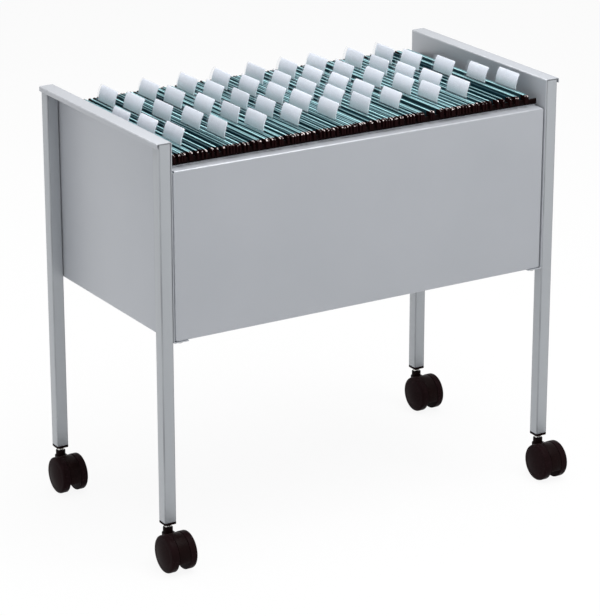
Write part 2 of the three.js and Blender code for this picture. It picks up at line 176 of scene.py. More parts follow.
class Bench:
    """One material's node tree, with the few steps that every finish uses."""

    def __init__(self, name: str) -> None:
        """Start a material that has only its principled shader."""
        self.material = bpy.data.materials.new(name)
        self.material.use_nodes = True
        self.tree = self.material.node_tree
        self.shader = self.tree.nodes["Principled BSDF"]

    def node(
        self,
        kind: str,
        settings: dict[str, object] | None = None,
        inputs: dict[str | int, object] | None = None,
        output: str | int = 0,
    ) -> Wire:
        """Add a node of any kind.

        Args:
            kind: The node's type name.
            settings: Properties to set first; "stops" holds a ramp's places and colours.
            inputs: Values or wires by socket name or number.
            output: The output to hand back.

        Returns:
            That output.
        """
        node = self.tree.nodes.new(kind)
        for key, value in (settings or {}).items():
            if key != "stops":
                setattr(node, key, value)
                continue
            for element, (place, colour) in zip(node.color_ramp.elements, value):
                element.position = place
                element.color = colour
        for key, value in (inputs or {}).items():
            feed(self.tree, node.inputs[key], value)
        return Wire(self.tree, node.outputs[output])

    def place(self, stretch: Sequence[float] = (1.0, 1.0, 1.0)) -> Wire:
        """Give the surface point in the cart's frame.

        Args:
            stretch: Factors for the three directions.

        Returns:
            The point, as a vector.
        """
        point = self.node("ShaderNodeTexCoord", output="Object")
        return self.node("ShaderNodeMapping", inputs={"Vector": point, "Scale": stretch})

    def noise(self, scale: float, detail: float = 2.0, stretch: Sequence[float] = (1.0, 1.0, 1.0)) -> Wire:
        """Give a noise value between 0 and 1.

        Args:
            scale: Waves to a metre.
            detail: Octaves of finer noise.
            stretch: Factors for the three directions.

        Returns:
            The noise value.
        """
        inputs = {"Vector": self.place(stretch), "Scale": scale, "Detail": detail}
        return self.node("ShaderNodeTexNoise", inputs=inputs)

    def marked(self, name: str) -> Wire:
        """Give the value that a mesh keeps for each face.

        Args:
            name: The attribute's name.

        Returns:
            The value, 0 where the mesh has none.
        """
        return self.node("ShaderNodeAttribute", {"attribute_name": name, "attribute_type": "GEOMETRY"}, output="Fac")

    def spread(self, value: Wire, low: float, high: float) -> Wire:
        """Stretch part of a value's range to 0 and 1, and clamp the rest.

        Args:
            value: The value.
            low: What becomes 0.
            high: What becomes 1.

        Returns:
            The stretched value.
        """
        inputs = {"Value": value, "From Min": low, "From Max": high}
        return self.node("ShaderNodeMapRange", {"clamp": True}, inputs)

    def blend(self, share: Operand, first: object, second: object) -> Wire:
        """Mix two colours.

        Args:
            share: How much of the second colour.
            first: The first colour or wire.
            second: The second colour or wire.

        Returns:
            The mixed colour.
        """
        settings = {"data_type": "RGBA", "clamp_factor": True}
        return self.node("ShaderNodeMix", settings, {0: share, 6: first, 7: second}, output=2)

    def bump(self, height: Wire, depth: float, strength: float = 1.0) -> None:
        """Raise the surface by a height value.

        Args:
            height: The height, from 0 to 1.
            depth: The real depth of the relief, in metres.
            strength: How strongly it shows.
        """
        inputs = {"Height": height, "Distance": depth, "Strength": strength}
        self.surface({"Normal": self.node("ShaderNodeBump", inputs=inputs)})

    def surface(self, inputs: dict[str, object]) -> None:
        """Feed the shader's own sockets with values or wires."""
        for key, value in inputs.items():
            feed(self.tree, self.shader.inputs[key], value)


@dataclass(frozen=True)
class PowderCoat:
    """Satin silver-grey powder coat: fine sparkle, orange peel and a soft mottle."""

    name: str = "powder_coat"
    dark: Colour = srgb("#A7ABB1")
    light: Colour = srgb("#B4B7BD")
    # Edge colour for the marked rims: edge wearing, plus painted light along folds and corners.
    edge_wear_and_painted_light: Colour = srgb("#C8CBD0")
    patch: float = 90.0
    gloss: float = 0.42

    def make(self) -> bpy.types.Material:
        """Build the material.

        Returns:
            The material.
        """
        bench = Bench(self.name)
        mottle = bench.noise(7.0, 3.0)
        sparkle = bench.noise(2600.0, 1.0)
        peel = bench.noise(520.0, 2.0)
        # The marked rims take the edge colour in patches: edge wearing, with a painted highlight along the sheets'
        # folds and painted dark shading along the tubes' corners.
        painted_light_and_wear = bench.marked(Form.RIM) * bench.spread(bench.noise(self.patch, 4.0), 0.3, 0.6)
        colour = bench.blend(mottle * 0.7 + sparkle * 0.45 - 0.08, self.dark, self.light)
        bench.surface({"Base Color": bench.blend(painted_light_and_wear, colour, self.edge_wear_and_painted_light)})
        bench.surface({"Roughness": mottle * 0.1 + sparkle * 0.1 + (self.gloss - 0.1) - painted_light_and_wear * 0.1})
        bench.surface({"Metallic": 0.2, "Coat Weight": 0.08, "Coat Roughness": 0.3})
        bench.bump(peel * 0.7 + sparkle * 0.3, 0.03 * MM, 0.35)
        return bench.material


@dataclass(frozen=True)
class MouldedPlastic:
    """Warm black moulded plastic with a fine spark-eroded grain."""

    name: str
    dark: Colour = srgb("#100707")
    light: Colour = srgb("#1A0D0D")
    gloss: float = 0.4
    grain: float = 1500.0
    sheen: float = 0.035

    def make(self) -> bpy.types.Material:
        """Build the material.

        Returns:
            The material.
        """
        bench = Bench(self.name)
        cloud = bench.noise(60.0, 3.0)
        grain = bench.noise(self.grain, 2.0)
        bench.surface({"Base Color": bench.blend(cloud, self.dark, self.light)})
        bench.surface({"Roughness": cloud * 0.16 + grain * 0.08 + (self.gloss - 0.12)})
        bench.surface({"Specular IOR Level": self.sheen})
        bench.bump(grain, 0.05 * MM, 0.4)
        return bench.material


@dataclass(frozen=True)
class PlatedSteel:
    """Bright plated steel with fine turning marks."""

    name: str = "plated_steel"
    dark: Colour = srgb("#B9B7B4")
    light: Colour = srgb("#E2E1DE")

    def make(self) -> bpy.types.Material:
        """Build the material.

        Returns:
            The material.
        """
        bench = Bench(self.name)
        marks = bench.noise(300.0, 3.0, (1.0, 1.0, 14.0))
        bench.surface({"Base Color": bench.blend(marks, self.dark, self.light)})
        bench.surface({"Roughness": marks * 0.15 + 0.14, "Metallic": 1.0})
        bench.bump(marks, 0.02 * MM, 0.3)
        return bench.material


@dataclass(frozen=True)
class LacqueredBar:
    """Brown-black lacquered bar, with pale spots along its top that paint a glint of the overhead light."""

    name: str = "bar_lacquer"
    dark: Colour = srgb("#140607")
    light: Colour = srgb("#200B0C")
    painted_glint: Colour = srgb("#E6DAD8")

    def make(self) -> bpy.types.Material:
        """Build the material.

        Returns:
            The material.
        """
        bench = Bench(self.name)
        cloud = bench.noise(260.0, 3.0)
        # Faces turned up get pale spots: a painted glint of the overhead light on the glossy lacquer.
        painted_glint_spots = bench.marked(HangingFiles.PAINTED_GLINT) * bench.spread(cloud, 0.48, 0.62)
        lacquer = bench.blend(cloud, self.dark, self.light)
        bench.surface({"Base Color": bench.blend(painted_glint_spots, lacquer, self.painted_glint)})
        bench.surface({"Roughness": cloud * 0.1 + 0.3, "Specular IOR Level": 0.03})
        bench.bump(cloud, 0.03 * MM, 0.3)
        return bench.material


@dataclass(frozen=True)
class FileCard:
    """Teal file card: pressed fibre, coloured by a value kept for each face that mixes random tone with painted
    light: painted highlights on the hem tops, painted shading on the hem sides and in the pockets.
    """

    name: str = "file_card"
    deep: Colour = srgb("#05303B")
    pale: Colour = srgb("#ACDEE5")
    fleck_and_painted_highlight: Colour = srgb("#DDF2F2")

    def make(self) -> bpy.types.Material:
        """Build the material.

        Returns:
            The material.
        """
        bench = Bench(self.name)
        # The kept value mixes random tone with painted light: high on the hem tops as a painted highlight, low on
        # the hem sides and pockets as painted shadow in the gaps between files.
        shade = bench.marked(HangingFiles.TONE_AND_PAINTED_LIGHT)
        cloud = bench.noise(45.0, 3.0)
        fibre = bench.noise(900.0, 3.0, (1.0, 0.25, 1.0))
        colour = bench.blend(shade * (cloud * 0.4 + 0.8), self.deep, self.pale)
        # Pale fibre flecks are scaled by the kept value, so they mostly whiten the painted highlight on the hem
        # tops.
        bench.surface({"Base Color": bench.blend(shade * (fibre * 0.7 - 0.25), colour, self.fleck_and_painted_highlight)})
        bench.surface({"Roughness": fibre * 0.2 + 0.55, "Specular IOR Level": 0.12})
        bench.bump(fibre, 0.06 * MM, 0.5)
        return bench.material


@dataclass(frozen=True)
class TabPaper:
    """White blank index paper with a faint tooth, and a teal-grey tint at its foot that paints the shadow and teal
    reflection from the cards.
    """

    name: str = "tab_paper"
    dark: Colour = srgb("#E4E9F4")
    light: Colour = srgb("#F5F8FF")
    # Teal-grey tint low on the tab: painted shadow and painted teal reflection from the cards.
    foot: Colour = srgb("#C6DADD")
    painted_shading_low: float = 650.0 * MM
    painted_shading_high: float = 666.0 * MM

    def make(self) -> bpy.types.Material:
        """Build the material.

        Returns:
            The material.
        """
        bench = Bench(self.name)
        tooth = bench.noise(1400.0, 3.0)
        cloud = bench.noise(30.0, 2.0)
        # Towards the bottom of the tab the paper fades into the tint that paints its shadow and the teal light from
        # the cards.
        height = bench.node("ShaderNodeSeparateXYZ", inputs={0: bench.place()}, output="Z")
        above_painted_shading = bench.spread(height, self.painted_shading_low, self.painted_shading_high)
        paper = bench.blend(tooth * 0.4 + cloud * 0.6, self.dark, self.light)
        bench.surface({"Base Color": bench.blend(above_painted_shading, self.foot, paper)})
        bench.surface({"Roughness": tooth * 0.2 + 0.6})
        bench.bump(tooth, 0.03 * MM, 0.4)
        return bench.material


@dataclass(frozen=True)
class TabSleeve:
    """Clear, slightly blue tab holder with soft rubbing marks."""

    name: str = "tab_sleeve"
    tint: Colour = srgb("#C9D4E2")
    haze: Colour = srgb("#F0F4FA")

    def make(self) -> bpy.types.Material:
        """Build the material.

        Returns:
            The material.
        """
        bench = Bench(self.name)
        rub = bench.noise(120.0, 3.0)
        bench.surface({"Base Color": bench.blend(rub, self.tint, self.haze)})
        bench.surface({"Roughness": rub * 0.2 + 0.12, "Alpha": rub * 0.1 + 0.05})
        return bench.material


class Form:
    """A mesh being shaped, and its way out to a dressed piece of the cart."""

    # Kept per face: how strongly a finish puts its edge colour, for wearing and painted edge light, on the narrow
    # faces.
    RIM: ClassVar[str] = "rim"

    def __init__(self) -> None:
        """Start with nothing."""
        self.bm = bmesh.new()

    def block(self, low: Sequence[float], high: Sequence[float]) -> list[BMVert]:
        """Add a box.

        Args:
            low: Its lowest corner.
            high: Its highest corner.

        Returns:
            Its vertices.
        """
        low, high = Vector(low), Vector(high)
        verts = bmesh.ops.create_cube(self.bm, size=1.0)["verts"]
        bmesh.ops.scale(self.bm, vec=high - low, verts=verts)
        bmesh.ops.translate(self.bm, vec=(high + low) / 2.0, verts=verts)
        return verts

    def post(self, centre: Sequence[float], radii: tuple[float, float], height: float) -> list[BMVert]:
        """Add an upright round post.

        Args:
            centre: The middle of its foot.
            radii: Its radius at the foot and at the top.
            height: How high it stands.

        Returns:
            Its vertices.
        """
        made = bmesh.ops.create_cone(
            self.bm, cap_ends=True, segments=40, radius1=radii[0], radius2=radii[1], depth=height
        )
        bmesh.ops.translate(self.bm, vec=Vector(centre) + Z_AXIS * (height / 2.0), verts=made["verts"])
        return made["verts"]

    def chain(self, points: Iterable[Sequence[float]], rounding: dict[int, float] | None = None) -> list[BMEdge]:
        """Add a line of edges, with some corners rounded.

        Args:
            points: The corners in order.
            rounding: Radius by corner number.

        Returns:
            The edges, rounded corners included.
        """
        before = set(self.bm.edges)
        verts = [self.bm.verts.new(point) for point in points]
        for pair in zip(verts, verts[1:]):
            self.bm.edges.new(pair)
        for number, radius in (rounding or {}).items():
            bmesh.ops.bevel(
                self.bm,
                geom=[verts[number]],
                offset=radius,
                segments=5,
                profile=0.5,
                affect="VERTICES",
                material=-1,
            )
        return [edge for edge in self.bm.edges if edge not in before]

    def sweep(self, edges: list[BMEdge], run: Vector) -> list[BMEdge]:
        """Pull edges out into a sheet.

        Args:
            edges: The edges to pull.
            run: How far, and which way.

        Returns:
            The edges at the far end.
        """
        made = bmesh.ops.extrude_edge_only(self.bm, edges=edges)["geom"]
        bmesh.ops.translate(self.bm, vec=run, verts=[v for v in made if isinstance(v, BMVert)])
        return [edge for edge in made if isinstance(edge, BMEdge) and self._at_end(edge, made)]

    @staticmethod
    def _at_end(edge: BMEdge, made: list[object]) -> bool:
        """Tell whether both ends of an edge are new."""
        return all(vert in made for vert in edge.verts)

    def bend(self, edges: list[BMEdge], centre: Vector, axis: Vector, angle: float, steps: int = 5) -> list[BMEdge]:
        """Carry edges round an axis into a curved sheet.

        Args:
            edges: The edges to carry.
            centre: A point on the axis.
            axis: The axis's direction.
            angle: How far round, in radians.
            steps: Facets on the way.

        Returns:
            The edges at the far end.
        """
        verts = list({vert for edge in edges for vert in edge.verts})
        made = bmesh.ops.spin(
            self.bm, geom=verts + edges, cent=centre, axis=axis, angle=angle, steps=steps, use_duplicate=False
        )
        return [edge for edge in made["geom_last"] if isinstance(edge, BMEdge)]

    def turn(
        self,
        points: Iterable[Sequence[float]],
        centre: Sequence[float],
        axis: Vector,
        rounding: dict[int, float] | None = None,
        steps: int = 48,
    ) -> None:
        """Turn a profile all the way round an axis.

        Args:
            points: The profile, starting and ending on the axis.
            centre: A point on the axis.
            axis: The axis's direction.
            rounding: Radius by corner number.
            steps: Facets in the full turn.
        """
        edges = self.chain(points, rounding)
        verts = list({vert for edge in edges for vert in edge.verts})
        bmesh.ops.spin(
            self.bm, geom=verts + edges, cent=centre, axis=axis, angle=FULL_TURN, steps=steps, use_merge=True
        )
        self.close()

    def close(self) -> None:
        """Merge doubled points and turn the faces outwards."""
        bmesh.ops.remove_doubles(self.bm, verts=self.bm.verts[:], dist=0.001 * MM)
        bmesh.ops.recalc_face_normals(self.bm, faces=self.bm.faces[:])

    def thicken(self, faces: list[BMFace], wall: float, outward: Vector) -> None:
        """Give a sheet its thickness, away from its shown side.

        Args:
            faces: The sheet's faces.
            wall: The thickness.
            outward: The way that the first face's shown side faces.
        """
        bmesh.ops.recalc_face_normals(self.bm, faces=faces)
        if faces[0].normal.dot(outward) < 0.0:
            bmesh.ops.reverse_faces(self.bm, faces=faces)
        bmesh.ops.solidify(self.bm, geom=faces, thickness=wall)

    def soften(self, edges: Iterable[BMEdge], radius: float, segments: int = 2) -> None:
        """Round off edges.

        Args:
            edges: The edges to round.
            radius: The rounding's width.
            segments: Facets across it.
        """
        bmesh.ops.bevel(
            self.bm,
            geom=list(edges),
            offset=radius,
            segments=segments,
            profile=0.5,
            affect="EDGES",
            clamp_overlap=True,
            material=-1,
        )

    def creases(self, degrees: float = 50.0) -> list[BMEdge]:
        """Find the sharp edges.

        Args:
            degrees: The least angle between an edge's two faces.

        Returns:
            The edges.
        """
        self.bm.normal_update()
        limit = math.radians(degrees)
        return [edge for edge in self.bm.edges if edge.is_manifold and edge.calc_face_angle() > limit]

    def mark_rim_wear_and_painted_light(self, width: float, painted_light_and_wear: float) -> None:
        """Mark the narrow faces along edges and folds, where the finish wears first and where its edge colour paints
        light.

        Args:
            width: Faces narrower than this are marked.
            painted_light_and_wear: How strongly they take the edge colour, for wearing and painted edge light.
        """
        rim = self.bm.faces.layers.float.new(self.RIM)
        for face in self.bm.faces:
            narrow = min(edge.calc_length() for edge in face.edges) < width
            face[rim] = painted_light_and_wear if narrow else 0.0

    def piece(
        self, name: str, material: bpy.types.Material, body: str, nodes: Sequence[str] = (), slot: str = ""
    ) -> bpy.types.Object:
        """Hand the mesh over as a piece that rides on a body.

        Args:
            name: The piece's name.
            material: Its finish.
            body: The body that carries it.
            nodes: The plain nodes that it stands for.
            slot: The record's material slot; not used.

        Returns:
            The new object.
        """
        mesh = bpy.data.meshes.new(name)
        for face in self.bm.faces:
            face.smooth = True
        self.bm.to_mesh(mesh)
        self.bm.free()
        mesh.set_sharp_from_angle(angle=math.radians(32.0))
        mesh.materials.append(material)
        made = bpy.data.objects.new(name, mesh)
        bpy.context.scene.collection.objects.link(made)
        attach(made, body)
        if nodes:
            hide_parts(*nodes)
        LOG.info("%s: %d faces on %s", name, len(mesh.polygons), body)
        return made


@dataclass
class Finishes:
    """The cart's finishes, each made once."""

    paint: bpy.types.Material = field(default_factory=lambda: PowderCoat().make())
    # The tubes' edge colour is darker: painted dark shading along their rounded corners, in long patches.
    tube: bpy.types.Material = field(
        default_factory=lambda: PowderCoat(
            "tube_coat", srgb("#A3A7AC"), srgb("#AEB2B6"), edge_wear_and_painted_light=srgb("#7E8185"), patch=6.0
        ).make()
    )
    hood: bpy.types.Material = field(default_factory=lambda: MouldedPlastic("hood_plastic").make())
    wheel: bpy.types.Material = field(
        default_factory=lambda: MouldedPlastic(
            "wheel_plastic", srgb("#160C0D"), srgb("#211416"), gloss=0.34, grain=700.0, sheen=0.015
        ).make()
    )
    plug: bpy.types.Material = field(default_factory=lambda: MouldedPlastic("plug_plastic", gloss=0.55).make())
    strip: bpy.types.Material = field(default_factory=lambda: MouldedPlastic("strip_plastic", gloss=0.5).make())
    bar: bpy.types.Material = field(default_factory=lambda: LacqueredBar().make())
    steel: bpy.types.Material = field(default_factory=lambda: PlatedSteel().make())
    card: bpy.types.Material = field(default_factory=lambda: FileCard().make())
    paper: bpy.types.Material = field(default_factory=lambda: TabPaper().make())
    sleeve: bpy.types.Material = field(default_factory=lambda: TabSleeve().make())


@dataclass
class Legs:
    """Four square tubes with a black plug in each foot."""

    finishes: Finishes
    wall: float = 1.5 * MM
    corner: float = 2.0 * MM
    rim: float = 4.0 * MM
    spigot_gap: float = 0.3 * MM
    edge: float = 0.25 * MM

    def build(self) -> None:
        """Make the tubes and the plugs."""
        for corner in Corner:
            self.tube(corner)
            self.plug(corner)

    def tube(self, corner: Corner) -> None:
        """Make one open tube.

        Args:
            corner: Which leg.
        """
        node = f"leg_{corner.value}"
        form = Form()
        form.block(*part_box(node))
        form.soften(self.uprights(form), self.corner, 4)
        ends = [face for face in form.bm.faces if abs(face.normal.z) > 0.9]
        bmesh.ops.delete(form.bm, geom=ends, context="FACES_ONLY")
        side = form.bm.faces[:]
        form.thicken(side, self.wall, side[0].normal.copy())
        form.soften(form.creases(80.0), self.edge)
        # The rounded corners take the tube coat's darker edge colour: painted dark shading along each corner.
        form.mark_rim_wear_and_painted_light(self.corner / 2.0, 0.8)
        form.piece(f"tube_{corner.value}", self.finishes.tube, "frame", [node], "silver_paint")

    @staticmethod
    def uprights(form: Form) -> list[BMEdge]:
        """Find a form's vertical edges."""
        return [e for e in form.bm.edges if abs((e.verts[0].co - e.verts[1].co).normalized().z) > 0.99]

    def plug(self, corner: Corner) -> None:
        """Make one plug: a rim under the tube and a spigot in it.

        Args:
            corner: Which leg.
        """
        node = f"leg_plug_{corner.value}"
        low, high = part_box(node)
        inset = Vector((1.0, 1.0, 0.0)) * (self.wall + self.spigot_gap)
        form = Form()
        form.block(low, (high.x, high.y, low.z + self.rim))
        form.block(low + inset + Z_AXIS * (self.rim / 2.0), high - inset)
        form.soften(self.uprights(form), self.corner, 3)
        form.soften(form.creases(60.0), 2.0 * self.edge)
        form.piece(f"foot_plug_{corner.value}", self.finishes.plug, "frame", [node], "black_plastic")


@dataclass
class Bin:
    """The folded sheets: two end panels, two long panels and the base tray."""

    finishes: Finishes
    sheet: float = 1.5 * MM
    bend_inner: float = 0.7 * MM
    rim: float = 0.3 * MM
    lip_drop: float = 8.0 * MM
    foot_flange: float = 26.0 * MM
    hang_rise: float = 9.7 * MM
    strip_wall: float = 1.0 * MM
    bottom_return: float = 20.0 * MM
    side_return: float = 14.0 * MM
    rail_reach: float = 1.9 * MM

    @property
    def bend_outer(self) -> float:
        """The radius on the outside of a fold."""
        return self.bend_inner + self.sheet

    def build(self) -> None:
        """Make all the sheets."""
        for side in Side:
            self.end_panel(side)
        for facing in Facing:
            self.long_panel(facing)
            self.rail_strip(facing)
        self.tray()

    def end_panel(self, side: Side) -> None:
        """Fold one end panel: lip, cap, web and foot flange.

        Args:
            side: Which end.
        """
        node = f"end_panel_{side.name.lower()}"
        low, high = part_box(node)
        out = side.value
        lip, toe = (high.x, low.x) if out > 0 else (low.x, high.x)
        web = toe + out * (self.foot_flange - self.sheet)
        foot = low.z + self.sheet
        corners = [(lip, high.z - self.lip_drop), (lip, high.z), (web, high.z), (web, foot), (toe, foot)]
        form = Form()
        rounding = {1: self.bend_outer, 2: self.bend_outer, 3: self.bend_inner}
        edges = form.chain([(x, low.y, z) for x, z in corners], rounding)
        form.sweep(edges, Y_AXIS * (high.y - low.y))
        shown = max(form.bm.faces, key=lambda face: face.calc_area())
        faces = [shown] + [face for face in form.bm.faces if face is not shown]
        form.thicken(faces, self.sheet, X_AXIS * -out)
        form.soften(form.creases(), self.rim)
        # The folds take the paint's paler edge colour: edge wearing and a painted highlight along each fold.
        form.mark_rim_wear_and_painted_light(self.bend_inner, 0.5)
        form.piece(f"end_sheet_{side.name.lower()}", self.finishes.paint, "frame", [node], "silver_paint")

    def long_panel(self, facing: Facing) -> None:
        """Fold one long panel: hanging rail, top flange, face, bottom return and side returns.

        Args:
            facing: Which long side.
        """
        node = f"{facing.name.lower()}_panel"
        low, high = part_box(node)
        out = facing.value
        face, inner = (high.y, low.y) if out > 0 else (low.y, high.y)
        rail = inner + out * self.sheet
        top = high.z - self.hang_rise
        end = high.x - self.rail_reach - self.bend_outer
        corners = [(rail, high.z), (rail, top), (face, top), (face, low.z), (face - out * self.bottom_return, low.z)]
        form = Form()
        rounding = {1: self.bend_inner, 2: self.bend_outer, 3: self.bend_outer}
        edges = form.chain([(-end, y, z) for y, z in corners], rounding)
        far = form.sweep(edges, X_AXIS * (2.0 * end))
        for way, row in ((-1.0, edges), (1.0, far)):
            upright = [edge for edge in row if abs((edge.verts[0].co - edge.verts[1].co).normalized().z) > 0.99]
            rails = [edge for edge in upright if abs(edge.verts[0].co.y - rail) < self.rim]
            fronts = [edge for edge in upright if abs(edge.verts[0].co.y - face) < self.rim]
            form.sweep(rails, X_AXIS * (way * (high.x - end)))
            pivot = Vector((way * end, face - out * self.bend_outer, 0.0))
            folded = form.bend(fronts, pivot, Z_AXIS, -way * out * math.pi / 2.0)
            form.sweep(folded, Y_AXIS * (-out * (self.side_return - self.bend_outer)))
        shown = max(form.bm.faces, key=lambda each: each.calc_area())
        faces = [shown] + [each for each in form.bm.faces if each is not shown]
        form.thicken(faces, self.sheet, Y_AXIS * out)
        form.soften(form.creases(), self.rim)
        # The folds take the paint's paler edge colour: edge wearing and a painted highlight along each fold.
        form.mark_rim_wear_and_painted_light(self.bend_inner, 0.5)
        form.piece(f"{facing.name.lower()}_sheet", self.finishes.paint, "frame", [node], "silver_paint")

    def rail_strip(self, facing: Facing) -> None:
        """Clip the black strip over one hanging rail's edge.

        Args:
            facing: Which long side.
        """
        node = f"rail_strip_{facing.name.lower()}"
        low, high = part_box(node)
        corners = [(low.y, low.z), (low.y, high.z), (high.y, high.z), (high.y, low.z)]
        form = Form()
        edges = form.chain([(low.x, y, z) for y, z in corners], {1: self.strip_wall, 2: self.strip_wall})
        form.sweep(edges, X_AXIS * (high.x - low.x))
        faces = sorted(form.bm.faces, key=lambda each: each.calc_center_median().y)
        form.thicken(faces, self.strip_wall, -Y_AXIS)
        form.soften(form.creases(), self.rim)
        form.piece(f"edge_strip_{facing.name.lower()}", self.finishes.strip, "frame", [node], "black_plastic")

    def tray(self) -> None:
        """Press the shallow base tray."""
        form = Form()
        form.block(*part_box("base_tray"))
        lid = [face for face in form.bm.faces if face.normal.z > 0.9]
        bmesh.ops.delete(form.bm, geom=lid, context="FACES_ONLY")
        inside = [edge for edge in form.bm.edges if edge.is_manifold]
        form.soften(inside, self.bend_outer, 4)
        faces = form.bm.faces[:]
        form.thicken(faces, self.sheet, faces[0].normal.copy())
        form.soften(form.creases(80.0), self.rim)
        form.piece("tray_sheet", self.finishes.paint, "frame", ["base_tray"], "silver_paint")


@dataclass
class Screws:
    """Four socket screws under the foot flanges."""

    finishes: Finishes
    thread: float = 2.5 * MM
    head: float = 2.6 * MM
    crown: float = 0.8 * MM
    socket: float = 1.7 * MM
    socket_depth: float = 1.5 * MM

    def build(self) -> None:
        """Make the screws."""
        for corner in Corner:
            node = f"panel_screw_{corner.value}"
            low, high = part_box(node)
            middle = (low + high) / 2.0
            radius = (high.x - low.x) / 2.0
            seat = low.z + self.head
            recess = low.z + self.socket_depth
            profile = [
                (0.0, recess),
                (self.socket, recess),
                (self.socket, low.z),
                (radius - self.crown, low.z),
                (radius, low.z + self.crown),
                (radius, seat),
                (self.thread, seat),
                (self.thread, high.z),
                (0.0, high.z),
            ]
            form = Form()
            points = [(middle.x + r, middle.y, z) for r, z in profile]
            form.turn(points, (middle.x, middle.y, 0.0), Z_AXIS, {4: self.crown / 2.0}, 30)
            form.piece(f"screw_{corner.value}", self.finishes.steel, "frame", [node], "bright_steel")


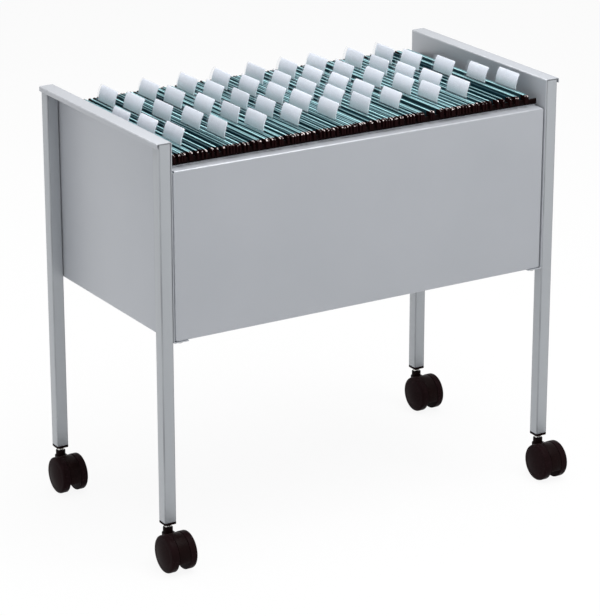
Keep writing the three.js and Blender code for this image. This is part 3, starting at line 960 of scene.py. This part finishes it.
@dataclass
class Casters:
    """Four twin-wheel casters: stem, hood with a neck, and two wheels."""

    finishes: Finishes
    collar_step: float = 1.6 * MM
    collar: float = 2.6 * MM
    neck_step: float = 1.55 * MM
    neck_rise: float = 2.5 * MM
    neck_flare: float = 1.0 * MM
    hood_inset: float = 0.4 * MM
    hood_shell: float = 6.0 * MM
    hood_round: float = 0.7 * MM
    hood_back: float = 6.5 * MM
    start_angle: float = 54.0
    end_angle: float = 200.0
    axle_boss: float = 9.0 * MM
    tread_edge: float = 3.2 * MM
    inner_edge: float = 0.8 * MM
    dome: float = 3.0 * MM
    groove: float = 0.15 * MM
    groove_width: float = 0.8 * MM
    hub_share: float = 0.7
    bore: float = 3.3 * MM
    cap: float = 5.0 * MM

    def build(self) -> None:
        """Make every caster."""
        for corner in Corner:
            self.stem(corner)
            self.hood(corner)
            for side in Side:
                self.wheel(corner, side)
            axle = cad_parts[f"caster_axle_{corner.value}"]
            axle.data.materials.clear()
            axle.data.materials.append(self.finishes.steel)

    def stem(self, corner: Corner) -> None:
        """Turn one stem with its collar.

        Args:
            corner: Which leg.
        """
        node = f"caster_stem_{corner.value}"
        low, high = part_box(node)
        middle = (low + high) / 2.0
        wide = (high.x - low.x) / 2.0
        slim = wide - self.collar_step
        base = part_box(f"caster_hood_{corner.value}")[1].z + 0.3 * MM
        top = base + self.collar
        profile = [(0.0, low.z), (slim, low.z), (slim, base), (wide, base), (wide, top), (slim, top), (slim, high.z)]
        form = Form()
        points = [(middle.x + r, middle.y, z) for r, z in [*profile, (0.0, high.z)]]
        form.turn(points, (middle.x, middle.y, 0.0), Z_AXIS, {3: 0.4 * MM, 4: 0.7 * MM}, 36)
        form.piece(f"stem_{corner.value}", self.finishes.steel, "frame", [node], "bright_steel")

    def hood(self, corner: Corner) -> None:
        """Mould one hood with its neck.

        Args:
            corner: Which leg.
        """
        node = f"caster_hood_{corner.value}"
        low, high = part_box(node)
        wheel_low, wheel_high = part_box(f"caster_wheel_left_{corner.value}")
        stem_low, stem_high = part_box(f"caster_stem_{corner.value}")
        pivot = (stem_low + stem_high) / 2.0
        axle = (wheel_low + wheel_high) / 2.0
        radius = (wheel_high.z - wheel_low.z) / 2.0 - self.hood_inset
        neck = (high.x - low.x) / 2.0 - self.neck_step
        neck_foot = stem_low.z - self.hood_shell
        angles = [self.start_angle + (self.end_angle - self.start_angle) * step / 20 for step in range(21)]
        crown = [self.round_axle(axle, radius, angle) for angle in angles]
        front_lip = self.round_axle(axle, radius - self.hood_shell, self.end_angle)
        back = pivot.y + neck
        outline = [(back, neck_foot), (back, crown[0][1]), *crown, front_lip]
        form = Form()
        verts = [form.bm.verts.new((low.x, y, z)) for y, z in outline]
        side = form.bm.faces.new(verts)
        made = bmesh.ops.extrude_face_region(form.bm, geom=[side])["geom"]
        moved = [vert for vert in made if isinstance(vert, BMVert)]
        bmesh.ops.translate(form.bm, vec=X_AXIS * (high.x - low.x), verts=moved)
        form.close()
        backs = [edge for edge in Legs.uprights(form) if all(abs(vert.co.y - back) < MM for vert in edge.verts)]
        form.soften(backs, self.hood_back, 5)
        form.soften(form.creases(40.0), self.hood_round, 4)
        boss = [(low.x, 0.0), (low.x, self.axle_boss), (high.x, self.axle_boss), (high.x, 0.0)]
        form.turn([(x, axle.y, axle.z + r) for x, r in boss], axle, X_AXIS, {1: self.neck_flare, 2: self.neck_flare}, 32)
        post = form.post((pivot.x, pivot.y, neck_foot), (neck, neck), high.z - neck_foot)
        rim = [edge for edge in form.creases(60.0) if all(v in post and v.co.z > axle.z for v in edge.verts)]
        form.soften(rim, self.neck_flare)
        form.piece(f"hood_{corner.value}", self.finishes.hood, f"caster_{corner.value}", [node], "black_plastic")

    @staticmethod
    def round_axle(axle: Vector, radius: float, degrees: float) -> tuple[float, float]:
        """Give a point on a circle round the axle.

        Args:
            axle: A point on the axle.
            radius: The circle's radius.
            degrees: The angle from straight back, over the top.

        Returns:
            The point's Y and Z.
        """
        angle = math.radians(degrees)
        return (axle.y + radius * math.cos(angle), axle.z + radius * math.sin(angle))

    def wheel(self, corner: Corner, side: Side) -> None:
        """Turn one wheel: tread, rounded shoulder, ring groove and domed hub face.

        Args:
            corner: Which leg.
            side: Which of the two wheels.
        """
        name = f"{side.name.lower()}_{corner.value}"
        node = f"caster_wheel_{name}"
        low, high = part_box(node)
        out = side.value
        inner, outer = (low.x, high.x) if out > 0 else (high.x, low.x)
        axle = (low + high) / 2.0
        radius = (high.z - low.z) / 2.0
        ring = radius * self.hub_share
        shoulder = outer - out * self.dome
        step = shoulder + out * self.dome * (1.0 - self.hub_share)
        profile = [
            (0.0, outer - out * self.cap),
            (self.bore, outer - out * self.cap),
            (self.bore, inner),
            (radius, inner),
            (radius, shoulder),
            (ring + self.groove_width, step),
            (ring + self.groove_width, step - out * self.groove),
            (ring, step - out * self.groove),
            (ring, step + out * self.groove / 2.0),
            (ring / 2.0, outer - out * self.dome / 5.0),
            (0.0, outer),
        ]
        form = Form()
        points = [(x, axle.y, axle.z + r) for r, x in profile]
        form.turn(points, axle, X_AXIS, {3: self.inner_edge, 4: self.tread_edge, 8: 0.4 * MM})
        form.piece(f"wheel_{name}", self.finishes.wheel, f"wheel_{name}", [node], "black_plastic")


@dataclass
class HangingFiles:
    """The packs of files: card pockets with hemmed tops, hooks and leaning index tabs."""

    finishes: Finishes
    gap: float = 0.6 * MM
    card: float = 0.4 * MM
    hem: float = 2.4 * MM
    hem_height: float = 9.0 * MM
    hem_end: float = 7.5 * MM
    card_end: float = 14.5 * MM
    bar: float = 3.0 * MM
    bar_reach: float = 14.0 * MM
    hook_tip: float = 4.5 * MM
    hook_drop: float = 4.3 * MM
    hook_round: float = 2.0 * MM
    hook_stray: float = 1.4 * MM
    tab_height: float = 28.0 * MM
    tab_places: int = 5
    first_place: int = 2
    tab_end: float = 14.0 * MM
    tab_gap: float = 0.7 * MM
    tab_corner: float = 2.5 * MM
    sleeve: float = 2.2 * MM
    paper: float = 1.5 * MM
    paper_short: float = 6.0 * MM
    paper_foot: float = 3.5 * MM
    lean_least: float = 7.0 * MM
    lean_most: float = 10.0 * MM
    lean_back: float = 2.2 * MM
    # Painted shading: hem sides and pockets take low values, so the gaps between files read as shadow.
    painted_side_shade: float = 0.03
    painted_pocket_shadow: float = 0.16
    shut: float = 0.45
    stray: float = 0.06
    seed: int = 11

    TONE_AND_PAINTED_LIGHT: ClassVar[str] = "shade"
    PAINTED_GLINT: ClassVar[str] = "painted_light_and_wear"
    # Tones drawn at random for each file's two hems: the first hem is painted lit and pale, the second painted dark
    # as the shadow between files.
    PAINTED_LIT_TONES: ClassVar[tuple[float, ...]] = (0.4, 0.6, 0.8, 1.0, 1.3)
    PAINTED_DARK_TONES: ClassVar[tuple[float, ...]] = (0.02, 0.08, 0.18, 0.3, 0.5)
    PACKS: ClassVar[str] = "MMMM TTSS MTMS MMMS SSTM SMSS SMMS SSSM SMTT SSSS SMMS WWTT"

    def __post_init__(self) -> None:
        """Start the seeded scatter of shades and places."""
        self.scatter = random.Random(self.seed)

    def build(self) -> None:
        """Make every pack."""
        first = 0
        for number, letters in enumerate(self.PACKS.split(), 1):
            self.pack(number, [Fill[letter] for letter in letters], first)
            first += len(letters)

    def pack(self, index: int, fills: list[Fill], first: int) -> None:
        """Make one pack's card, hooks, tab papers and tab sleeves.

        Args:
            index: The pack's number from the left, from 1.
            fills: How full each of its files is.
            first: How many files stand to its left.
        """
        node = f"file_pack_{index}"
        body = f"files_{index}"
        low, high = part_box(node)
        start = low.x - self.gap / 2.0
        scale = (high.x - low.x + self.gap) / sum(fill.value for fill in fills)
        bar_top = high.z - self.tab_height
        cards, hooks, papers, sleeves = Form(), Form(), Form(), Form()
        shade = cards.bm.faces.layers.float.new(self.TONE_AND_PAINTED_LIGHT)
        painted_light_and_wear = hooks.bm.faces.layers.float.new(self.PAINTED_GLINT)
        for number, fill in enumerate(fills, first):
            width = fill.value * scale
            bars = self.bars(start, width)
            # The first hem takes a painted lit tone, the second a painted dark tone.
            for bar, tones in zip(bars, (self.PAINTED_LIT_TONES, self.PAINTED_DARK_TONES)):
                self.hem_strip(cards, shade, self.scatter.choice(tones), bar, low, high, bar_top)
                for facing in Facing:
                    self.hook_end(hooks, bar, low, high, bar_top, facing)
            self.pocket(cards, shade, bars, start + width / 2.0, width, low, high, bar_top)
            self.tab(papers, sleeves, bars[0], low, high, bar_top, number)
            start += width
        # Faces that look up carry the bars' painted glint.
        hooks.bm.normal_update()
        for face in hooks.bm.faces:
            face[painted_light_and_wear] = float(face.normal.z > 0.6)
        cards.piece(f"{body}_card", self.finishes.card, body, [node], "teal_card")
        hooks.piece(f"{body}_bars", self.finishes.bar, body, slot="black_plastic")
        papers.piece(f"{body}_papers", self.finishes.paper, body, slot="teal_card")
        sleeves.piece(f"{body}_sleeves", self.finishes.sleeve, body, slot="teal_card")

    def bars(self, start: float, width: float) -> list[float]:
        """Place one file's two bars, side by side in the shut files and apart in the full ones.

        Args:
            start: Where the file starts along the row.
            width: How much of the row it takes.

        Returns:
            The X of the two bars.
        """
        near = max(width / 4.0 - self.lean_back, 0.6 * self.bar)
        first = start + near + self.scatter.uniform(0.0, self.stray) * width
        if self.scatter.random() < self.shut:
            return [first, first + self.bar + self.scatter.uniform(0.2, 1.0) * MM]
        return [first, start + width * (0.75 + self.scatter.uniform(-self.stray, self.stray))]

    def hem_strip(
        self, form: Form, shade: BMLayerItem, tone: float, bar: float, low: Vector, high: Vector, top: float
    ) -> None:
        """Add the card's hem round one bar, with a painted highlight along its top and painted shading on its sides
        in the gaps beside it.

        Args:
            form: The pack's card.
            shade: Where the card's random tone and painted light are kept.
            tone: How pale this hem's top is painted, a tone drawn at random.
            bar: The bar's X.
            low: The pack's lowest corner.
            high: The pack's highest corner.
            top: The bars' top.
        """
        before = set(form.bm.faces)
        half = Vector((self.hem / 2.0, 0.0, 0.0))
        foot = Vector((bar, low.y + self.hem_end, top - self.hem_height)) - half
        head = Vector((bar, high.y - self.hem_end, top)) + half
        verts = form.block(foot, head)
        edges = {edge for vert in verts for edge in vert.link_edges}
        ridge = [edge for edge in edges if all(vert.co.z > top - self.card for vert in edge.verts)]
        form.soften(ridge, self.hem / 2.5, 3)
        form.bm.normal_update()
        # Faces that look up get the painted highlight; the sides get a small share of it as painted shading.
        for face in form.bm.faces:
            if face not in before:
                face[shade] = tone if face.normal.z > 0.2 else self.painted_side_shade * tone

    def hook_end(self, form: Form, bar: float, low: Vector, high: Vector, top: float, facing: Facing) -> None:
        """Add one hook that stands out of a hem and drops over the hanging rail.

        Args:
            form: The pack's hooks.
            bar: The bar's X.
            low: The pack's lowest corner.
            high: The pack's highest corner.
            top: The bars' top.
            facing: Which end of the bar.
        """
        out = facing.value
        end = high.y if out > 0 else low.y
        tip = end - out * self.scatter.uniform(0.0, self.hook_stray)
        crest = top - self.card - self.scatter.uniform(0.0, self.hook_stray / 2.0)
        roof = top - self.hem_height + self.card
        toe = top - self.hem_height - self.hook_drop
        root = end - out * self.bar_reach
        notch = end - out * self.hook_tip
        corners = [
            (root, roof),
            (notch, roof),
            (notch, toe),
            (tip, toe),
            (tip, crest - self.hook_round),
            (tip - out * self.hook_round, crest),
            (root, crest),
        ]
        verts = [form.bm.verts.new((bar - self.bar / 2.0, y, z)) for y, z in corners]
        flat = form.bm.faces.new(verts)
        made = bmesh.ops.extrude_face_region(form.bm, geom=[flat])["geom"]
        moved = [vert for vert in made if isinstance(vert, BMVert)]
        bmesh.ops.translate(form.bm, vec=X_AXIS * self.bar, verts=moved)
        shell = list({face for vert in [*verts, *moved] for face in vert.link_faces})
        bmesh.ops.recalc_face_normals(form.bm, faces=shell)
        ridge = {edge for face in shell for edge in face.edges if min(v.co.z for v in edge.verts) > roof + self.hem}
        along = [edge for edge in ridge if abs(edge.verts[0].co.x - edge.verts[1].co.x) < self.card]
        form.soften(along, self.bar / 4.0)

    def pocket(
        self,
        form: Form,
        shade: BMLayerItem,
        bars: list[float],
        middle: float,
        pitch: float,
        low: Vector,
        high: Vector,
        top: float,
    ) -> None:
        """Hang one card pocket between two bars.

        Args:
            form: The pack's card.
            shade: Where the card's random tone and painted light are kept.
            bars: The X of the two bars.
            middle: The file's own middle.
            pitch: The space that one file takes.
            low: The pack's lowest corner.
            high: The pack's highest corner.
            top: The bars' top.
        """
        start = top - self.hem_height + self.card
        drop = start - low.z
        belly = pitch / 2.0 - 2.0 * self.card
        corners = [
            (bars[0], start),
            (middle - belly, start - 0.45 * drop),
            (middle - 0.9 * belly, start - 0.85 * drop),
            (middle - 0.4 * belly, low.z),
            (middle + 0.4 * belly, low.z),
            (middle + 0.9 * belly, start - 0.85 * drop),
            (middle + belly, start - 0.45 * drop),
            (bars[1], start),
        ]
        before = set(form.bm.faces)
        edges = form.chain([(x, low.y + self.card_end, z) for x, z in corners])
        form.sweep(edges, Y_AXIS * (high.y - low.y - 2.0 * self.card_end))
        faces = [face for face in form.bm.faces if face not in before]
        faces.sort(key=lambda face: face.calc_center_median().x)
        form.thicken(faces, self.card, -X_AXIS)
        # The pocket takes a low value: painted shadow in the gap between the hems.
        for face in form.bm.faces:
            if face not in before:
                face[shade] = self.painted_pocket_shadow

    def tab(
        self, papers: Form, sleeves: Form, bar: float, low: Vector, high: Vector, top: float, number: int
    ) -> None:
        """Stand one curved tab on a bar: a clear sleeve with a paper in it.

        Args:
            papers: The pack's tab papers.
            sleeves: The pack's tab sleeves.
            bar: The bar's X.
            low: The pack's lowest corner.
            high: The pack's highest corner.
            top: The bars' top.
            number: The file's number from the left, which gives the tab its place.
        """
        place = (number + self.first_place) % self.tab_places
        length = high.y - low.y - 2.0 * self.card_end
        space = (length - 2.0 * self.tab_end) / self.tab_places
        centre = (low.y + high.y) / 2.0 + ((self.tab_places - 1) / 2.0 - place) * space
        lean = min(self.scatter.uniform(self.lean_least, self.lean_most), high.x - bar - self.sleeve)
        arc = 2.0 * math.atan2(lean, self.tab_height)
        pivot = Vector((bar + self.tab_height / math.sin(arc), 0.0, top))
        half = (space - self.tab_gap) / 2.0
        slip = self.scatter.uniform(0.0, self.paper_short)
        self.leaf(sleeves, bar, top, pivot, arc, (centre - half, centre + half), self.sleeve, self.tab_corner)
        foot = self.paper_foot / (pivot.x - bar)
        span = (centre - half + self.paper, centre + half - self.paper - slip)
        reach = arc - 0.4 * self.sleeve / (pivot.x - bar)
        self.leaf(papers, bar, top, pivot, reach, span, self.paper, self.tab_corner, foot)

    @staticmethod
    def leaf(
        form: Form,
        bar: float,
        top: float,
        pivot: Vector,
        arc: float,
        span: tuple[float, float],
        wall: float,
        corner: float,
        foot: float = 0.0,
    ) -> None:
        """Curve one leaf of a tab up from its bar, with rounded corners and a rounded crest.

        Args:
            form: Where the leaf goes.
            bar: The bar's X.
            top: The bars' top.
            pivot: A point on the axis that the leaf curves round.
            arc: How far it curves, in radians.
            span: Its two ends along Y.
            wall: Its thickness.
            corner: The radius of its two upper corners.
            foot: Where it starts on the curve, in radians.
        """
        before = set(form.bm.faces)
        reach = pivot.x - bar + wall / 2.0
        start = [(pivot.x - reach * math.cos(foot), y, top + reach * math.sin(foot)) for y in span]
        form.bend(form.chain(start), pivot, Y_AXIS, arc - foot, 6)
        faces = [face for face in form.bm.faces if face not in before]
        form.thicken(faces, wall, -X_AXIS)
        shell = [face for face in form.bm.faces if face not in before]
        crest = max(vert.co.z for face in shell for vert in face.verts)
        across = {
            edge
            for face in shell
            for edge in face.edges
            if abs(edge.calc_length() - wall) < wall / 10.0 and all(vert.co.z > crest - wall for vert in edge.verts)
        }
        form.soften(across, corner, 3)
        rims = {
            edge
            for face in form.bm.faces
            if face not in before
            for edge in face.edges
            if edge.is_manifold and edge.calc_face_angle() > 1.0 and max(v.co.z for v in edge.verts) > crest - corner
        }
        form.soften(rims, wall / 3.0)


@dataclass
class Studio:
    """White floor, soft lamps and the camera."""

    eye: Vector = field(default_factory=lambda: Vector((-2.2549, -3.6675, 1.8332)))
    turn: float = 31.418
    tilt: float = 19.547
    lens: float = 166.12
    floor_size: float = 14.0
    white_share: float = 0.91
    sky: float = 0.42
    backdrop: float = 0.95

    def build(self) -> None:
        """Set up the view, the floor and the light."""
        scene = bpy.context.scene
        scene.view_settings.view_transform = "Standard"
        self.camera(scene)
        self.floor()
        self.world(scene)
        self.lamp("top_softbox", Vector((0.3, -0.9, 3.2)), Vector((0.0, 0.0, 0.5)), 2.4, 86.0)
        self.lamp("back_softbox", Vector((0.2, 1.2, 3.0)), Vector((0.0, 0.0, 0.5)), 2.0, 22.0)
        self.lamp("left_softbox", Vector((-4.2, 0.4, 0.7)), Vector((0.0, 0.0, 0.4)), 2.0, 34.0)

    def camera(self, scene: bpy.types.Scene) -> None:
        """Stand the camera where the photograph was taken.

        Args:
            scene: The scene that looks through it.
        """
        data = bpy.data.cameras.new("view")
        data.lens = self.lens
        data.clip_end = 60.0
        view = bpy.data.objects.new("view", data)
        view.location = self.eye
        view.rotation_euler = (math.radians(90.0 - self.tilt), 0.0, math.radians(-self.turn))
        scene.collection.objects.link(view)
        scene.camera = view

    def floor(self) -> None:
        """Lay the pale floor: near white to the eye and in reflections, with the cart's soft shadow."""
        bench = Bench("studio_floor")
        bench.surface({"Base Color": srgb("#F2F2F2"), "Roughness": 0.9, "Specular IOR Level": 0.0})
        glow = bench.node("ShaderNodeEmission", inputs={"Color": (1.0, 1.0, 1.0, 1.0), "Strength": 1.0})
        lit = Wire(bench.tree, bench.shader.outputs[0])
        share = self.seen(bench.tree) * self.white_share
        mixed = bench.node("ShaderNodeMixShader", inputs={0: share, 1: lit, 2: glow})
        feed(bench.tree, bench.tree.nodes["Material Output"].inputs["Surface"], mixed)
        mesh = bpy.data.meshes.new("studio_floor")
        shape = bmesh.new()
        bmesh.ops.create_grid(shape, x_segments=1, y_segments=1, size=self.floor_size)
        bmesh.ops.translate(shape, vec=Z_AXIS * (-0.2 * MM), verts=shape.verts[:])
        shape.to_mesh(mesh)
        shape.free()
        mesh.materials.append(bench.material)
        made = bpy.data.objects.new("studio_floor", mesh)
        bpy.context.scene.collection.objects.link(made)

    def world(self, scene: bpy.types.Scene) -> None:
        """Light the scene evenly from all round, and show white behind it.

        Args:
            scene: The scene to light.
        """
        world = bpy.data.worlds.new("studio")
        world.use_nodes = True
        scene.world = world
        tree = world.node_tree
        light = tree.nodes["Background"]
        feed(tree, light.inputs["Color"], (1.0, 1.0, 1.0, 1.0))
        feed(tree, light.inputs["Strength"], self.seen(tree) * (self.backdrop - self.sky) + self.sky)

    @staticmethod
    def seen(tree: bpy.types.NodeTree) -> Wire:
        """Tell the rays that see the backdrop, straight or in a surface, from those that light the cart.

        Args:
            tree: The tree that asks.

        Returns:
            1 for the seeing rays, 0 for the others.
        """
        ray = tree.nodes.new("ShaderNodeLightPath")
        straight = Wire(tree, ray.outputs["Is Camera Ray"]) + Wire(tree, ray.outputs["Is Transmission Ray"])
        return straight + Wire(tree, ray.outputs["Is Glossy Ray"])

    @staticmethod
    def lamp(name: str, place: Vector, aim: Vector, size: float, power: float) -> None:
        """Hang one square softbox.

        Args:
            name: The lamp's name.
            place: Where it hangs.
            aim: What it points at.
            size: Its side.
            power: Its power in watts.
        """
        data = bpy.data.lights.new(name, "AREA")
        data.size = size
        data.energy = power
        made = bpy.data.objects.new(name, data)
        made.location = place
        made.rotation_euler = (aim - place).to_track_quat("-Z", "Y").to_euler()
        bpy.context.scene.collection.objects.link(made)


def main() -> None:
    """Build the cart's looks."""
    logging.basicConfig(level=logging.INFO, format="%(name)s: %(message)s")
    Studio().build()
    finishes = Finishes()
    for part in (Legs, Bin, Screws, Casters, HangingFiles):
        LOG.info("building %s", part.__name__)
        part(finishes).build()


if __name__ == "__main__":
    main()
